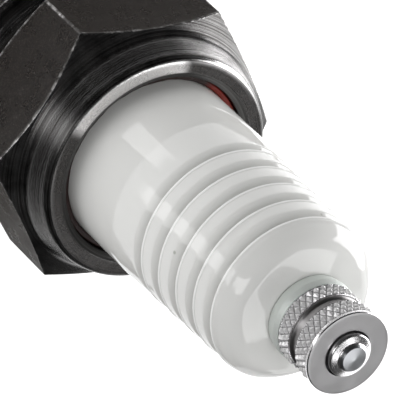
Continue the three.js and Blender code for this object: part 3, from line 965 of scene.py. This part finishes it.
def plated_steel():
    """Nickel plate: frosted knurl with painted shade in its recesses, darker groove, satin end faces,
    greenish collar.
    """
    s = Shader("plated_steel")
    recess = s.mask("recess")
    collar = s.mask("collar")
    tone = s.mix(s.noise(1.5, 3.0), rgb(0.90, 0.89, 0.90), rgb(0.99, 0.98, 0.99))
    green = s.mix(collar, tone, rgb(0.80, 0.84, 0.81))
    dull = s.mix(s.mask("face"), green, rgb(0.425, 0.42, 0.425))
    polished = s.mix(s.mask("tip"), dull, rgb(0.41, 0.42, 0.435))
    # Darker in the nut's groove.
    groove_darkened = s.mix(s.math("MULTIPLY", s.mask("groove"), 0.75), polished, rgb(0.20, 0.19, 0.19))
    # Painted shade: the knurl's deepest recesses go nearly black.
    colour = s.mix(s.levels(recess, 0.74, 0.98, 0.0, 0.95), groove_darkened, rgb(0.02, 0.02, 0.02))
    lathe_marks = s.noise(22.0, 2.0, place=s.lathe_place())
    relief = s.bump(s.noise(6.0, 3.0), 0.003, under=s.bump(lathe_marks, 0.003))
    dulled = s.math("ADD", s.math("MULTIPLY", s.mask("groove"), 0.15), s.math("MULTIPLY", collar, 0.32))
    ends = s.math("ADD", s.mask("face"), s.mask("tip"))
    satin = s.math("ADD", s.math("MULTIPLY", ends, 0.13), dulled)
    smear = s.vary(s.noise(0.9, 4.0), 0.17, 0.26)
    s.set(color=colour, roughness=s.math("ADD", smear, satin), normal=relief)
    frosted = s.math("ADD", s.math("MULTIPLY", s.mask("knurled"), 0.5), s.math("MULTIPLY", collar, 0.45))
    s.set(metallic=s.math("SUBTRACT", 1.0, frosted))
    return s.material


def drawn_nickel():
    s = Shader("drawn_nickel")
    length_wise = s.noise(4.0, 3.0, place=s.scaled(s.place, (1.0, 6.0, 1.0)))
    colour = s.mix(s.noise(0.8, 3.0), rgb(0.40, 0.38, 0.34), rgb(0.56, 0.54, 0.50))
    s.set(color=colour, roughness=s.vary(length_wise, 0.28, 0.42), normal=s.bump(length_wise, 0.01))
    s.set(metallic=1.0)
    return s.material


def zinc_sheet():
    s = Shader("zinc_sheet")
    rings = s.noise(6.0, 2.0, place=s.lathe_place())
    spangle = s.noise(1.2, 4.0)
    colour = s.mix(spangle, rgb(0.48, 0.48, 0.45), rgb(0.66, 0.65, 0.60))
    s.set(color=colour, roughness=s.vary(spangle, 0.25, 0.45), normal=s.bump(rings, 0.012))
    s.set(metallic=1.0)
    return s.material


def plain_steel():
    s = Shader("plain_steel")
    tone = s.noise(1.8, 3.0)
    s.set(color=s.mix(tone, rgb(0.33, 0.33, 0.32), rgb(0.46, 0.46, 0.45)), metallic=1.0)
    s.set(roughness=s.vary(tone, 0.35, 0.5), normal=s.bump(s.noise(9.0, 2.0), 0.01))
    return s.material


def bright_copper():
    s = Shader("bright_copper")
    tone = s.noise(1.4, 3.0)
    s.set(color=s.mix(tone, rgb(0.62, 0.33, 0.20), rgb(0.80, 0.47, 0.31)), metallic=1.0)
    s.set(roughness=s.vary(tone, 0.22, 0.4), normal=s.bump(s.noise(8.0, 2.0), 0.008))
    return s.material


def pressed_powder():
    s = Shader("pressed_powder")
    grit = s.noise(12.0, 4.0)
    s.set(color=s.mix(grit, rgb(0.70, 0.68, 0.62), rgb(0.86, 0.84, 0.78)), normal=s.bump(grit, 0.04))
    s.set(roughness=s.vary(grit, 0.85, 0.98))
    return s.material


def red_compound():
    s = Shader("red_compound")
    lumps = s.noise(3.0, 4.0)
    red = s.mix(lumps, rgb(0.12, 0.010, 0.006), rgb(0.26, 0.022, 0.012))
    # Painted shade: outside the red arc the ring is nearly black.
    painted_gap_shade = s.mix(lumps, rgb(0.010, 0.006, 0.006), rgb(0.030, 0.012, 0.010))
    s.set(color=s.mix(s.mask("unshaded_arc"), painted_gap_shade, red), normal=s.bump(lumps, 0.05))
    s.set(roughness=s.vary(lumps, 0.45, 0.7))
    return s.material


def conductive_glass():
    s = Shader("conductive_glass")
    flecks = s.levels(s.cells(4.0), 0.1, 0.3)
    s.set(color=s.mix(flecks, rgb(0.36, 0.20, 0.11), rgb(0.08, 0.09, 0.07)), normal=s.bump(flecks, 0.01))
    s.set(roughness=s.vary(s.noise(3.0), 0.2, 0.4))
    return s.material


def carbon_glass():
    s = Shader("carbon_glass")
    grit = s.noise(7.0, 4.0)
    s.set(color=s.mix(grit, rgb(0.015, 0.015, 0.015), rgb(0.06, 0.06, 0.06)), normal=s.bump(grit, 0.03))
    s.set(roughness=s.vary(grit, 0.6, 0.85))
    return s.material


def dress_node(node, material):
    """Gives a CAD node that stays in the visual model its finished material."""
    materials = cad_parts[node].data.materials
    materials.clear()
    materials.append(material)


# ---------------------------------------------------------------- floor and light

FLOOR_GAP = 0.05
FLOOR_LEVEL = STRAP_LOW.z - FLOOR_GAP
FLOOR_HALF = 3000
FLOOR_GLOW = 0.3
CARD_HEIGHT = 0.5
CARD_HALF_ARC = math.radians(140)
CARD_COLUMNS = 53
CARD_TINT = (1.0, 0.92, 0.85)
CARD_MOTTLE = 1.15
VIEW_SIDE = VIEW_AZIMUTH - QUARTER_TURN  # the camera's side of the plug, counted from +X towards +Y
WORLD_GLOW = 0.03
LIGHT_TARGET = Vector((0, 0, 18)) * MM
SOFTBOX_TARGET = Vector((0.6, -6.4, 20.6)) * MM  # a spot on the ceramic's near side


def add_floor():
    signs = ((-1, -1), (1, -1), (1, 1), (-1, 1))
    corners = np.array([(FLOOR_HALF * x, FLOOR_HALF * y, FLOOR_LEVEL) for x, y in signs])
    floor = mesh_piece("floor", corners, [(0, 1, 2, 3)])
    s = Shader("studio_floor")
    s.set(color=s.mix(s.noise(0.02, 2.0), rgb(0.93, 0.93, 0.93), rgb(0.95, 0.95, 0.95)), roughness=0.9)
    s.surface.inputs["Emission Color"].default_value = rgb(1.0, 1.0, 1.0)
    s.surface.inputs["Emission Strength"].default_value = FLOOR_GLOW
    floor.data.materials.append(s.material)


def add_panel(name, azimuth, elevation, distance, size, radiance, target=LIGHT_TARGET):
    """A flat soft light that faces the target. It has the same radiance from every angle in front of it."""
    data = bpy.data.lights.new(name, "AREA")
    data.shape = "RECTANGLE"
    data.size, data.size_y = size[0] * MM, size[1] * MM
    data.energy = radiance * math.pi * data.size * data.size_y
    light = bpy.data.objects.new(name, data)
    towards_light = direction(math.radians(azimuth), math.radians(elevation))
    light.location = target + towards_light * distance * MM
    light.rotation_euler = towards_light.to_track_quat("Z", "Y").to_euler()
    light.visible_camera = False
    bpy.context.scene.collection.objects.link(light)
    return light


def add_lights():
    world = bpy.data.worlds.new("studio")
    world.use_nodes = True
    background = world.node_tree.nodes["Background"]
    background.inputs["Color"].default_value = rgb(1.0, 1.0, 1.0)
    background.inputs["Strength"].default_value = WORLD_GLOW
    bpy.context.scene.world = world
    front_fill = add_panel("front_fill", 20, 62, distance=420, size=(340, 340), radiance=2.6)
    add_panel("back_overhead", 196, 66, distance=450, size=(360, 240), radiance=2.4)
    back_low = add_panel("back_low", 200, 12, distance=400, size=(420, 190), radiance=1.3)
    add_panel("right_key", -114, 12, distance=85, size=(62, 80), radiance=5.0)
    add_panel("left_strip", 44, -4, distance=50, size=(16, 52), radiance=2.2)
    left_fill = add_panel("left_fill", 116, 30, distance=400, size=(300, 260), radiance=0.7)
    left_window = add_panel("left_window", 50, 42, distance=200, size=(62, 92), radiance=3.0)
    add_panel("small_softbox", 5, -44, distance=36, size=(13, 9), radiance=1.9, target=SOFTBOX_TARGET)
    for unseen_in_reflections in (front_fill, left_fill):
        unseen_in_reflections.visible_glossy = False
    for only_in_reflections in (back_low, left_window):
        only_in_reflections.visible_diffuse = False


def add_card(name, inner, outer, shade):
    """A dark card on the floor round the camera's side of the plug, which only reflections see."""
    angles = VIEW_SIDE + CARD_HALF_ARC * np.linspace(-1, 1, CARD_COLUMNS)
    arcs = [radius * np.stack([np.cos(angles), np.sin(angles)], axis=-1) for radius in (inner, outer)]
    outline = np.vstack([arcs[0], arcs[1][::-1]])
    level = np.full((len(outline), 1), FLOOR_LEVEL + CARD_HEIGHT)
    card = mesh_piece(name, np.hstack([outline, level]), [tuple(range(len(outline)))])
    s = Shader(name)
    warm = [shade * share for share in CARD_TINT]
    paler = [part * CARD_MOTTLE for part in warm]
    s.set(color=s.mix(s.noise(0.1), rgb(*warm), rgb(*paler)), roughness=1.0, specular=0.0)
    card.data.materials.append(s.material)
    card.visible_camera = False
    card.visible_diffuse = False
    card.visible_shadow = False
    card.visible_transmission = False


add_camera()
add_floor()
add_lights()
add_card("grey_card", inner=13, outer=48, shade=0.12)
add_card("black_card", inner=67, outer=1500, shade=0.015)

steel = blackened_steel()
plating = plated_steel()
nickel = drawn_nickel()
make_shell(steel)
make_insulator(glazed_ceramic())
make_stud(plating)
make_nut(plating)
make_lip_seal(red_compound())
make_gasket(zinc_sheet())
make_centre_electrode(nickel)
make_ground_electrode(nickel)

copper = bright_copper()
wire = plain_steel()
glass = conductive_glass()
kept_nodes = {
    "seat_washer": copper,
    "copper_core": copper,
    "lower_packing_ring": wire,
    "upper_packing_ring": wire,
    "talc_packing": pressed_powder(),
    "lower_glass_seal": glass,
    "upper_glass_seal": glass,
    "resistor": carbon_glass(),
}
for kept_node, kept_material in kept_nodes.items():
    dress_node(kept_node, kept_material)

bpy.context.scene.view_settings.view_transform = "Standard"
